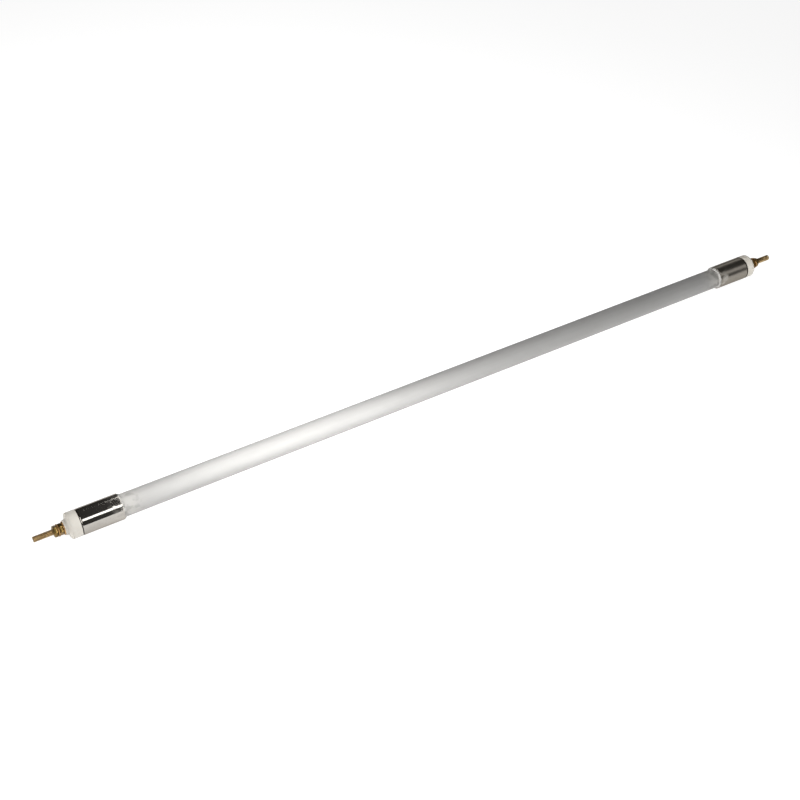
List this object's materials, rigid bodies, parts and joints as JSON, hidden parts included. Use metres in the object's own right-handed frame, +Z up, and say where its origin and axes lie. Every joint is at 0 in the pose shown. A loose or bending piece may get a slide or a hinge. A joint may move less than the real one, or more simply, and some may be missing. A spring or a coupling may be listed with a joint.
{
  "type": "quartz infrared heating tube",
  "caption": "Straight milky quartz tube round a heating coil, closed by ceramic end caps in metal ferrules, with a brass terminal stud, nuts and washers at each end.",
  "frame": {"origin": "the middle of the tube's axis, which is the centre of the whole part", "axes": "+X along the tube from the left end to the right end, +Z up, the tube lying level"},
  "size_m": [0.7332, 0.021, 0.021],
  "materials": {
    "milky_quartz": "milky fused quartz, satin to frosted, translucent",
    "resistance_wire": "oxidised resistance alloy wire",
    "end_ceramic": "unglazed warm white steatite, satin",
    "bright_ferrule": "bright nickel-plated thin sheet",
    "sealing_cement": "matt white refractory cement",
    "stud_brass": "threaded brass",
    "nut_brass": "machined brass",
    "washer_brass": "stamped brass",
    "plug_steel": "turned steel"
  },
  "bodies": {
    "tube_body": {"quartz_tube": "milky_quartz", "heating_coil": "resistance_wire", "ceramic_cap_left": "end_ceramic", "ferrule_left": "bright_ferrule", "cement_seal_left": "sealing_cement", "terminal_stud_left": "stud_brass", "coil_plug_left": "plug_steel", "inner_nut_left": "nut_brass", "inner_washer_left": "washer_brass", "seat_washer_left": "washer_brass", "lock_nut_left": "nut_brass", "ceramic_cap_right": "end_ceramic", "ferrule_right": "bright_ferrule", "cement_seal_right": "sealing_cement", "terminal_stud_right": "stud_brass", "coil_plug_right": "plug_steel", "inner_nut_right": "nut_brass", "inner_washer_right": "washer_brass", "seat_washer_right": "washer_brass", "lock_nut_right": "nut_brass"},
    "terminal_washer_body_left": {"terminal_washer_left": "washer_brass"},
    "terminal_nut_body_left": {"terminal_nut_left": "nut_brass"},
    "terminal_washer_body_right": {"terminal_washer_right": "washer_brass"},
    "terminal_nut_body_right": {"terminal_nut_right": "nut_brass"}
  },
  "joints": [
    {"name": "terminal_washer_left_slide", "type": "slide", "parent": "tube_body", "child": "terminal_washer_body_left", "axis": [-1, 0, 0], "range_m": [0, 0.0152]},
    {"name": "terminal_nut_left_turn", "type": "hinge", "parent": "terminal_washer_body_left", "child": "terminal_nut_body_left", "pos_m": [-0.3493, 0, 0], "axis": [-1, 0, 0], "range_deg": [0, 6840]},
    {"name": "terminal_washer_right_slide", "type": "slide", "parent": "tube_body", "child": "terminal_washer_body_right", "axis": [1, 0, 0], "range_m": [0, 0.0152]},
    {"name": "terminal_nut_right_turn", "type": "hinge", "parent": "terminal_washer_body_right", "child": "terminal_nut_body_right", "pos_m": [0.3493, 0, 0], "axis": [1, 0, 0], "range_deg": [0, 6840]}
  ],
  "couplings": [
    {"joint": "terminal_nut_left_turn", "follows": "terminal_washer_left_slide", "rad_per_m": 7854},
    {"joint": "terminal_nut_right_turn", "follows": "terminal_washer_right_slide", "rad_per_m": 7854}
  ]
}
